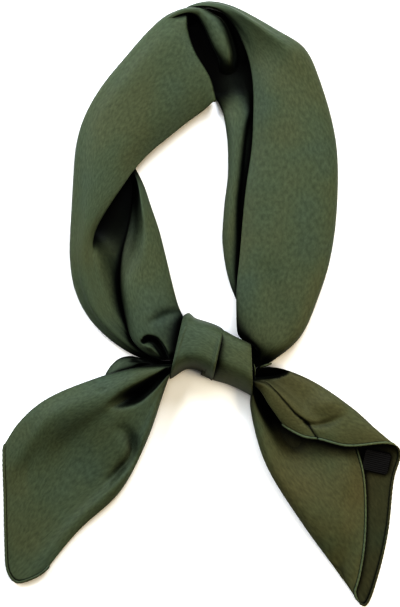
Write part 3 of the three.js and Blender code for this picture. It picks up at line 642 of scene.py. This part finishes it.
# Each row is one ring of the wrap: its edge by the loop, its edge by the ends, its height at the crest.
KNOT_RIGHT = table(
    "upper lower height",
    ((6, -14.5), (0, -49.5), 28),
    ((14, -17.8), (7.5, -52.8), 30.5),
    ((22, -22.2), (18.5, -56), 31),
    ((27.5, -24.8), (28, -60.2), 30.3),
    ((32.5, -27.2), (34.2, -63.6), 29),
    ((34.2, -28.3), (35.6, -64.2), 27.8),
    ((33.9, -29.5), (35, -63.4), 26.2),
    ((30, -30.5), (31, -60.5), 23.5),
)
KNOT_LEFT = table(
    "upper lower height",
    ((-8.5, -12.5), (-17.5, -49), 24),
    ((-11.5, -9.6), (-20.8, -51.4), 27),
    ((-12.2, -8.9), (-21.8, -52.6), 29),
    ((-10.5, -7.4), (-19.8, -51.6), 30.3),
    ((-8.2, -6.6), (-16.4, -49.2), 31.4),
    ((-4.5, -9.8), (-10.8, -45.8), 32.2),
    ((4, -12.6), (-3.6, -45.8), 33),
    ((11, -15.2), (3, -49.6), 33.4),
    ((14.2, -17.2), (6.6, -52.8), 33.6),
    ((15.2, -18.2), (7.4, -53.6), 32.8),
    ((14.4, -19.2), (6.4, -52.6), 31),
    ((9, -18.6), (2.5, -50), 30),
)


def wrap_ring(row, crest):
    """One ring of the wrap, whose crest is moved towards the loop by a share of half its width."""
    ring = []
    for place, share in KNOT_PROFILE:
        across = min(1, place + crest * max(0, share - 0.5) * 2)
        x, y = mix(row["lower"], row["upper"], 0.5 + across / 2)
        ring.append((x, y, max(KNOT_BACK, share * row["height"])))
    return ring


# The same satin pulled tight, which turns its threads towards the wrap's length.
KNOT_SATIN = olive_satin("olive_satin_in_the_knot", 30)
LAP_FOLDS = [
    [(14.2, -20, 0.8, -1), (10.8, -34, 0.9, -1.7), (6.8, -51, 0.8, -1.2)],
    [(-8.6, -10, 0.8, -0.6), (-13.2, -22, 0.9, -1.2), (-19, -45, 0.8, -0.8)],
]
for name, rings, crest, folds in (
    ("knot_right_wrap", KNOT_RIGHT, 0.22, []),
    ("knot_left_lap", KNOT_LEFT, 0, LAP_FOLDS),
):
    knot_grid = cloth_grid([wrap_ring(row, crest) for row in rings], along=8, across=6, closed=True, ease=3)
    for fold in folds:
        press(knot_grid, fold)
    wrap = lay_cloth(name, knot_grid, KNOT_SATIN, closed=True, ply=2 * PLY)
    finish_cloth(wrap, "knot_wrap")

# Left end of the scarf
# One corner of the square, splayed from the knot in a crest, a deep fold and a lit rim. Its free edges
# have a narrow hem, rolled by machine and stitched.

# Each row is one line from the knot to the hem, and the rows go once round the end, under it and back
# over it. rise is the height at each place; low lies halfway from far to hem where it isn't given.
LEFT_TAIL = table(
    "mouth near middle far hem rise low",
    ((-20, -45.5), (-36, -52), (-67, -77), (-102, -100), (-131, -138), (8, 4, 1, 0.6, 0.6, 0.6)),
    ((-20, -43.4), (-41, -46), (-69, -55), (-107, -73), (-134.5, -106), (8.5, 3, 1.2, 0.8, 0.7, 0.6)),
    ((-19.6, -42), (-42.5, -43.6), (-70.3, -50.6), (-109.2, -66.8), (-137.2, -97.4),
     (12, 11, 8, 6.5, 4, 2), (-127.8, -82.8)),
    ((-19.6, -42.2), (-42, -45), (-68.5, -56), (-105.5, -73), (-137.6, -108),
     (15.5, 15, 13, 11.5, 7.5, 3.2)),
    ((-19.8, -43), (-41.5, -48), (-67.5, -61.5), (-104.5, -80), (-137.4, -119.5),
     (17.4, 17.4, 15.5, 13, 7.5, 3.2)),
    ((-20, -43.8), (-38.5, -52), (-63, -66.4), (-101, -89), (-137, -133.5),
     (17.4, 17.4, 16, 9.5, 3.5, 2.6)),
    ((-20.2, -45), (-37, -57.5), (-58, -70), (-95, -98.5), (-136.7, -151), (12, 9, 13.5, 3.4, 2.2, 2.6)),
    ((-20.4, -46.2), (-34, -60.6), (-51.5, -74), (-88, -109), (-136.2, -171),
     (14, 14.5, 14.5, 2, 1.6, 2.6)),
    ((-20.6, -47.4), (-30, -58.4), (-44.5, -79), (-77.5, -119.5), (-134.8, -187),
     (15, 16, 14, 3.6, 1.6, 2.4)),
    ((-20.7, -48.2), (-28, -58.4), (-41.6, -86), (-61.5, -121), (-129, -194.2),
     (14.9, 15.3, 13.3, 6.2, 3, 2.8), (-95, -152.5)),
    ((-20.8, -48.6), (-27, -58.5), (-39, -90), (-59, -124.5), (-119, -191.8),
     (14.6, 15, 14, 9, 5.4, 3.6), (-88, -152.6)),
    ((-21, -48.9), (-26, -59.5), (-37.6, -92), (-57.4, -128), (-111, -187.6),
     (13, 13.2, 12.4, 8, 5, 3.5), (-85.4, -154.6)),
    ((-21, -48.7), (-25.5, -59.5), (-37.4, -94), (-56.2, -130.4), (-106, -182),
     (9.6, 8, 7.5, 5, 3.6, 3), (-84.6, -157)),
    ((-20.8, -48.2), (-28, -60), (-42.5, -92.5), (-63, -133), (-109, -179.5), (7, 3, 1.2, 0.8, 0.7, 0.6)),
    ((-20.5, -47), (-33.5, -60), (-57, -93), (-89, -130), (-121, -167), (6.6, 2, 0.6, 0.6, 0.6, 0.6)),
)
LEFT_GATHER = (-10, -43, 13)
GATHERED = 0.4  # how far an end's lines close in on the gather inside the knot
LEFT_END_DENTS = [
    ([(-24, -45, 0.8, 3), (-31, -51.4, 2.4, 11), (-38.5, -57.8, 4, 9), (-46.2, -63, 5.4, 6),
      (-54, -66.4, 5, 3.6), (-60, -69, 3.4, 2), (-65, -71.2, 2, 0)], 4),
    ([(-73, -60.2, 1, 0), (-69, -59.6, 1.4, 1), (-64, -58.8, 1, 0)], 2),
    ([(-119.5, -104, 2.5, 0), (-121, -117, 2.5, 0.6), (-121.8, -138, 2.5, 0)], 2),
    ([(-62, -86, 3, 0), (-54.5, -87.5, 4, 2), (-48.8, -92.5, 4.2, 4), (-46.8, -100, 4, 4.8),
      (-49, -107.5, 3.8, 4.8), (-54.6, -114, 3.8, 4), (-61.4, -120.6, 3.6, 2.2), (-69, -126, 3, 0)], 2),
]


def end_rows(table, gather):
    """The lines of an end, from the gather inside the knot to the hem, turned into rows across it."""
    lines = []
    for row in table:
        places = {"low": mix(row["far"], row["hem"], 0.5), **row}
        names = ("mouth", "near", "middle", "far", "low", "hem")
        line = [(*places[name], z) for name, z in zip(names, row["rise"])]
        lines.append([mix(line[0], gather, GATHERED), *line])
    return list(zip(*lines))


HEM_ROLL = 0.95  # radius of the rolled hem
HEM_STITCH = 3.5  # between two of its stitches; the real 2.5 mm is drawn a little wider
HEM_STEP = 0.7  # between two rings of its mesh
HEM_WALL = 0.3  # thickness of its rolled wall
HEM_TAPER = 5  # length over which it thins out at each end
STITCH_LONG = 0.9  # half length of a stitch
STITCH_THICK = 0.17  # half thickness of its thread
STITCH_OVER, STITCH_ALONG = 0.8, 0.6  # its slant, across the hem and along it
LEFT_EDGE = slice(14, -12)  # columns of the left end's grid that end in a hem


def rolled_hem(name, line, finish):
    """The narrow hem of a free edge: the cloth rolled up small and drawn in by a stitch every few mm."""
    run = np.concatenate([[0], np.cumsum(np.linalg.norm(np.diff(line, axis=0), axis=1))])
    at = np.linspace(0, run[-1], int(run[-1] / HEM_STEP))
    path = np.stack([np.interp(at, run, line[:, axis]) for axis in range(3)], axis=1)
    path[:, 2] = np.maximum(path[:, 2], HEM_ROLL + 0.2)
    ahead = np.gradient(path, axis=0)
    ahead /= np.linalg.norm(ahead, axis=1, keepdims=True)
    side = np.cross(ahead, (0, 0, 1))
    side /= np.linalg.norm(side, axis=1, keepdims=True)
    up = np.cross(side, ahead)
    # each stitch draws the roll in over 0.7 mm to either side, and the roll thins out at both ends
    from_stitch = ((at / HEM_STITCH + 0.5) % 1 - 0.5) * HEM_STITCH
    drawn = 1 - 0.16 * np.exp(-((from_stitch / 0.7) ** 2))
    drawn *= np.clip(np.minimum(at, run[-1] - at) / HEM_TAPER + 0.3, 0.3, 1)
    turns = np.linspace(0, 2 * math.pi, 8, endpoint=False)
    rings = [path + (side * math.cos(t) + up * math.sin(t)) * (HEM_ROLL * drawn)[:, None] for t in turns]
    roll = lay_cloth(name, np.stack(rings, axis=1), finish, closed=True, ply=HEM_WALL)
    shape = bmesh.new()
    for place in np.arange(HEM_STITCH, run[-1] - 1, HEM_STITCH):
        i = int(place / run[-1] * (len(at) - 1))
        slanted = side[i] * STITCH_OVER + ahead[i] * STITCH_ALONG
        beside = ahead[i] * STITCH_OVER - side[i] * STITCH_ALONG
        across = mathutils.Matrix((slanted, up[i], beside)).transposed()
        shift = mathutils.Matrix.Translation((path[i] + up[i] * HEM_ROLL * 0.72 - (*MIDDLE, 0)) * MM)
        size = mathutils.Matrix.Diagonal((STITCH_LONG * MM, STITCH_THICK * MM, STITCH_THICK * MM, 1))
        bmesh.ops.create_icosphere(shape, subdivisions=1, radius=1, matrix=shift @ across.to_4x4() @ size)
    for face in shape.faces:
        face.smooth = True
    stitches = finished_piece(name + "_stitches", shape, HEM_THREAD)
    for piece in (roll, stitches):
        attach(piece, "root")
    return [roll, stitches]


# Twisted polyester thread, a little lighter than the cloth; its twist breaks the light into flecks.
HEM_THREAD = bpy.data.materials.new("olive_polyester_thread")
HEM_THREAD.use_nodes = True
thread_tree = HEM_THREAD.node_tree
twist = add(
    thread_tree, "ShaderNodeTexNoise", {"Vector": add(thread_tree, "ShaderNodeTexCoord").outputs["Object"]},
    {"Scale": 1 / (0.5 * MM), "Detail": 1},
)
thread_tones = add(thread_tree, "ShaderNodeValToRGB", {"Fac": twist.outputs["Fac"]})
for stop, code in zip(thread_tones.color_ramp.elements, ("#4f5743", "#687058")):
    stop.color = colour(code)
thread_surface = thread_tree.nodes["Principled BSDF"]
thread_tree.links.new(thread_tones.outputs["Color"], thread_surface.inputs["Base Color"])
thread_surface.inputs["Roughness"].default_value = 0.5

# The same satin where it lies nearly along its threads.
END_SATIN = olive_satin("olive_satin_of_the_ends", 20)
left_end_grid = cloth_grid(end_rows(LEFT_TAIL, LEFT_GATHER), along=20, across=8, ease=5)
for dent, sharp in LEFT_END_DENTS:
    press(left_end_grid, dent, sharp)
left_end = lay_cloth("left_tail_cloth", left_end_grid, END_SATIN)
left_hem = rolled_hem("left_tail_hem", left_end_grid[-1, LEFT_EDGE], END_SATIN)
finish_cloth(left_end, "left_tail")

# Small fold behind the left end
# The ply that comes out of the knot behind the end and turns back under it, seen as a small leaf.

# under and inner lie beneath the end, top and edge are the leaf's crown and fold, under_edge its lower ply.
BACK_FOLD = table(
    "under inner top edge under_edge",
    ((-16, -46), (-17, -44), (-17, -42), (-17, -38.4), (-17, -41)),
    ((-23, -47), (-24, -44.5), (-24, -43.6), (-24, -40), (-24, -42)),
    ((-31, -48), (-32, -44.6), (-32.5, -42.8), (-33, -38.2), (-32, -41)),
    ((-39, -51), (-40, -46.6), (-41, -43), (-42, -37.6), (-41, -41)),
    ((-47, -54), (-48, -49), (-49, -42.6), (-50.4, -36.4), (-49, -42)),
    ((-54, -56), (-55, -51), (-56, -45), (-58, -38.6), (-56, -44)),
    ((-60, -58), (-61, -53), (-62, -49), (-64, -44.6), (-62, -48)),
    ((-65, -58), (-66, -55), (-66.4, -53), (-67.2, -50.4), (-66, -53)),
)
BACK_CREASES = [
    [(-34, -42.6, 0.8, 0), (-41, -42.8, 1, 2.6), (-47.5, -44.6, 0.8, 0)],
    [(-40, -40.4, 0.6, 0), (-46, -39.4, 0.8, 1.6), (-51, -40.4, 0.6, 0)],
]
BACK_FOLD_Z = dict(under=2, inner=6.5, top=8, edge=4, under_edge=0.8)
back_rows = [[(*row[name], z) for name, z in BACK_FOLD_Z.items()] for row in BACK_FOLD]
back_grid = cloth_grid(back_rows, along=9, across=9, ease=3)
for crease in BACK_CREASES:
    press(back_grid, crease, sharp=3)
back_fold = lay_cloth("left_tail_back_fold", back_grid, END_SATIN)
finish_cloth(back_fold, "left_tail")

# Right end of the scarf
# The opposite corner: a broad front panel over a back layer, with a flap folded over from the top that
# ends in a soft roll. Every free edge has the same narrow hem.
RIGHT_TAIL = table(
    "mouth near middle far hem rise",
    ((33.4, -49.5), (47, -61), (62, -76), (86, -92), (108, -98), (6, 2, 1.4, 2.6, 3.3, 4)),
    ((33.6, -51.5), (47, -68), (64, -86), (94, -108), (113.5, -119), (6.5, 2, 0.8, 5, 6, 2.6)),
    ((33.8, -54), (42.4, -71), (60, -96), (93, -127), (115, -148), (8, 4.5, 1, 7.4, 8, 2.4)),
    ((34, -56), (39.4, -73), (56, -107), (87, -146), (113.4, -174), (11, 9.5, 6.4, 9.5, 8.5, 2.4)),
    ((34.3, -55.9), (36.2, -72.6), (48.6, -110), (78, -155), (110, -193), (10.4, 9.5, 8.8, 8, 6, 1.8)),
    ((34.3, -56), (34.5, -71.8), (44.4, -110), (71.6, -154.4), (107.6, -203), (8, 5.5, 5, 4, 3, 1.6)),
    ((34.3, -55.6), (37, -72.5), (50, -109), (77.5, -156), (114.4, -211), (5.8, 2, 0.8, 0.6, 0.6, 0.6)),
    ((34, -56), (44, -71), (64, -104), (94, -150), (122.6, -191), (4.8, 1.5, 0.6, 0.6, 0.7, 0.8)),
    ((34, -55), (49, -67), (77, -92), (105, -125), (130.2, -158), (5, 2, 0.8, 0.8, 0.9, 1)),
    ((33.8, -51), (52, -58), (87, -76.5), (114, -99), (134, -121.4), (6.5, 3, 1.5, 1.2, 1.2, 1.2)),
    ((33.4, -47.6), (50, -44.4), (76, -52.8), (107.6, -74), (138.8, -104), (10, 9, 6, 4, 3.5, 2.6)),
    ((33.2, -46.9), (48, -44.8), (73, -54), (102, -74.4), (132.4, -96.6), (12, 12, 11, 10, 10, 8.5)),
    ((33.4, -49), (47, -51), (66, -65), (86, -83), (102, -98.6), (15, 13, 12, 12, 12, 10.5)),
    ((33.6, -51), (45, -54), (59.5, -65), (72, -78.5), (82, -93.4), (17, 17, 16, 15, 14, 12.5)),
    ((33.8, -53), (43.5, -56.5), (53.5, -66.5), (62, -78.5), (70.5, -91.6), (19.5, 19.5, 18, 16, 15, 14)),
    ((34, -54.8), (40, -59), (46.4, -69), (51.4, -76.5), (56, -83), (18, 17, 16, 14.5, 13.5, 12)),
    ((34, -54), (42.5, -60.5), (50.5, -70.5), (57, -78), (64, -85), (15, 13, 12, 11, 10.5, 9.5)),
)
RIGHT_GATHER = (22, -50, 12)
RIGHT_END_DENTS = [
    ([(35, -48.4, 3, 16), (45, -47.8, 3.2, 14), (53, -47.2, 2.8, 11), (57.5, -47, 2, 6),
      (61, -47, 1.6, 0)], 4),
    ([(36.4, -51.8, 0.7, 0), (44.8, -54.6, 0.7, 1), (51.8, -60.9, 0.7, 1.2), (58.8, -68.6, 0.7, 1.4),
      (65.8, -76.3, 0.7, 1.8), (72.8, -82, 0.8, 2.2), (80.4, -93, 0.7, 1.2)], 3),
    ([(72, -68, 6, 0), (82, -70, 7, -2.4), (93, -69, 7, -2.4), (103, -72, 6, 0)], 2),
    ([(54, -87, 5, 0), (61, -93.5, 7, 0.9), (67, -98.5, 7, 1), (76, -102, 6, 0)], 2),
    ([(71, -82, 1.6, 0.8), (79, -84, 2.2, 2), (91, -81.5, 2.6, 1.6), (101, -76, 2.4, 0)], 2),
    ([(100, -126, 6, 0), (105, -138, 7, 1.6), (106, -154, 7, 1.6), (102, -172, 7, 2.6), (98, -186, 6, 2.4),
      (100, -194, 5, 1)], 2),
]
# Two short hems show beside the knot: the edge where the end comes out, and a corner that curls up.
KNOT_EDGE = [(36.2, -41, 22), (36.8, -46, 20), (36.2, -51, 16.5), (35, -56.4, 11)]
CURLED_CORNER = [(38.4, -48.6, 8), (38.8, -46, 12), (40.6, -43.9, 14), (44.4, -42.4, 14), (49, -41.2, 12)]
SHORT_HEM = 40  # points along each of them
BACK_LAYER = (44, 80)  # columns of the end's grid where the back of the satin shows
FRONT_EDGE, BACK_EDGE, FLAP_EDGE = slice(0, 45), slice(44, 86), slice(85, None)  # columns of each hem
# The same satin's face, tinted warm as painted warm light; its back, drawn darker, partly as the duller back
# of the satin and partly as painted shade; and the hem, drawn lighter as a painted highlight on its tight
# roll.
RIGHT_TONES_WARM_LIT = ("#49513f", "#4e503b", "#504f39")  # painted warm light: this end's copy of the satin is tinted warmer than the loop's
# painted shade: this end's colour is darkened where it lies under 2.6 mm, as under the roll's end and by the
# front hem
RIGHT_SATIN = olive_satin("olive_satin_of_the_right_end_painted_warm", 20, RIGHT_TONES_WARM_LIT, painted_shade_below=2.6)
BACK_SATIN_DULL_AND_SHADED = olive_satin("olive_satin_from_the_back_and_shaded", 20, RIGHT_TONES_WARM_LIT, face=0.62)
HEM_SATIN_PAINTED_LIGHTER = olive_satin("olive_satin_of_the_hem_painted_lighter", 60, face=1.35)
right_end_grid = cloth_grid(end_rows(RIGHT_TAIL, RIGHT_GATHER), along=20, across=8, ease=4)
for dent, sharp in RIGHT_END_DENTS:
    press(right_end_grid, dent, sharp)
right_end = lay_cloth("right_tail_cloth", right_end_grid, RIGHT_SATIN, back=(BACK_SATIN_DULL_AND_SHADED, *BACK_LAYER))
right_hem = rolled_hem("front_panel_hem", right_end_grid[-1, FRONT_EDGE], HEM_SATIN_PAINTED_LIGHTER)
# the back layer's hem takes the back's darker colour, which is partly painted shade
right_hem += rolled_hem("back_layer_hem", right_end_grid[-1, BACK_EDGE], BACK_SATIN_DULL_AND_SHADED)
right_hem += rolled_hem("flap_hem", right_end_grid[-1, FLAP_EDGE], HEM_SATIN_PAINTED_LIGHTER)
right_hem += rolled_hem("knot_edge_hem", through(KNOT_EDGE, SHORT_HEM), HEM_SATIN_PAINTED_LIGHTER)
right_hem += rolled_hem("curled_corner_hem", through(CURLED_CORNER, SHORT_HEM), HEM_SATIN_PAINTED_LIGHTER)
finish_cloth(right_end, "right_tail")

# Bare tag at the right end
# A short piece of black ribbon satin sewn to the back layer by its upper edge. It bears no words.
RIB = 0.7  # mm between the ribs of the ribbon; the real 0.4 mm is drawn coarser
TAG_TURN = 13  # degrees that the tag lies turned

# Polyester ribbon woven in fine ribs, dyed black: nearly no colour, a dull gloss along each rib.
tag_satin = bpy.data.materials.new("black_ribbon_satin")
tag_satin.use_nodes = True
tag_tree = tag_satin.node_tree
tag_place = add(tag_tree, "ShaderNodeTexCoord").outputs["Object"]
tag_turn = add(
    tag_tree, "ShaderNodeMapping", {"Vector": tag_place},
    {"Rotation": (0, 0, math.radians(TAG_TURN)), "Scale": (1 / (RIB * MM),) * 3},
)
ribs = add(
    tag_tree, "ShaderNodeTexWave", {"Vector": tag_turn.outputs["Vector"]},
    {"Scale": 1 / (2 * math.pi), "Distortion": 0.4}, bands_direction="Y",
)
tag_tones = add(tag_tree, "ShaderNodeValToRGB", {"Fac": ribs.outputs["Fac"]})
for stop, code in zip(tag_tones.color_ramp.elements, ("#070606", "#131112")):
    stop.color = colour(code)
tag_bump = add(
    tag_tree, "ShaderNodeBump", {"Height": ribs.outputs["Fac"]}, {"Strength": 0.4, "Distance": 0.15 * MM}
)
tag_surface = tag_tree.nodes["Principled BSDF"]
tag_tree.links.new(tag_tones.outputs["Color"], tag_surface.inputs["Base Color"])
tag_tree.links.new(tag_bump.outputs["Normal"], tag_surface.inputs["Normal"])
tag_surface.inputs["Roughness"].default_value = 0.45
tag_surface.inputs["Specular IOR Level"].default_value = 0.25
tag_surface.inputs["Sheen Weight"].default_value = 0.08
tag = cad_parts["label_tag"]
tag.material_slots[0].link = "OBJECT"
tag.material_slots[0].material = tag_satin

# Floor, light and camera
# A pale studio table seen from straight above, with broad soft lights low round it, which bring out
# the folds, and a weak one overhead.
CAMERA_HEIGHT = 1.4  # metres over the table
SENSOR_TALL = 24  # mm
PHOTO_TALL = 0.4249  # metres of the table in the tall side of the photo
PHOTO_MIDDLE = (-0.7, 0.35)  # the middle of the photo, in the tables' own millimetres
LIGHT_DISTANCE = 1.4  # metres from the scarf's middle
LIGHTS = [  # name, direction round the scarf and above it in degrees, side in metres, watts, colour
    ("window_upper_left", 136, 35, 0.55, 12.6, "#eef4fc"),
    ("window_upper_right", 66, 35, 0.55, 12.4, "#e8f2ff"),
    ("wall_left", 168, 32, 0.55, 5.5, "#f8f8f2"),
    ("wall_right", 340, 32, 0.55, 10.5, "#ffeecc"),
    ("ceiling", 85, 80, 0.9, 5.6, "#f4f4f0"),
]

bpy.ops.mesh.primitive_plane_add(size=6)
floor = bpy.context.object
floor.name = "studio_floor"
# Matt background paper, a little warmer than white.
paper = bpy.data.materials.new("pale_paper")
paper.use_nodes = True
paper.node_tree.nodes["Principled BSDF"].inputs["Base Color"].default_value = colour("#f8f7f6")
paper.node_tree.nodes["Principled BSDF"].inputs["Roughness"].default_value = 0.9
floor.data.materials.append(paper)

for name, around, above, side, watts, tint in LIGHTS:
    lamp = bpy.data.lights.new(name, "AREA")
    lamp.size = side
    lamp.energy = watts
    lamp.color = colour(tint)[:3]
    stand = bpy.data.objects.new(name, lamp)
    bpy.context.scene.collection.objects.link(stand)
    turn, lift = math.radians(around), math.radians(above)
    stand.location = (
        LIGHT_DISTANCE * math.cos(lift) * math.cos(turn),
        LIGHT_DISTANCE * math.cos(lift) * math.sin(turn),
        LIGHT_DISTANCE * math.sin(lift),
    )
    stand.rotation_euler = (-stand.location).to_track_quat("-Z", "Y").to_euler()

sky = bpy.data.worlds.new("studio")
sky.use_nodes = True
sky.node_tree.nodes["Background"].inputs["Color"].default_value = colour("#dfe8ee")
sky.node_tree.nodes["Background"].inputs["Strength"].default_value = 0.01
bpy.context.scene.world = sky
bpy.context.scene.view_settings.view_transform = "Standard"
bpy.context.scene.view_settings.look = "Very High Contrast"

lens = bpy.data.cameras.new("overhead")
lens.sensor_fit = "VERTICAL"
lens.sensor_height = SENSOR_TALL
lens.lens = SENSOR_TALL * CAMERA_HEIGHT / PHOTO_TALL
camera = bpy.data.objects.new("overhead", lens)
bpy.context.scene.collection.objects.link(camera)
camera.location = (
    (PHOTO_MIDDLE[0] - MIDDLE[0]) * MM,
    (PHOTO_MIDDLE[1] - MIDDLE[1]) * MM,
    CAMERA_HEIGHT,
)
bpy.context.scene.camera = camera
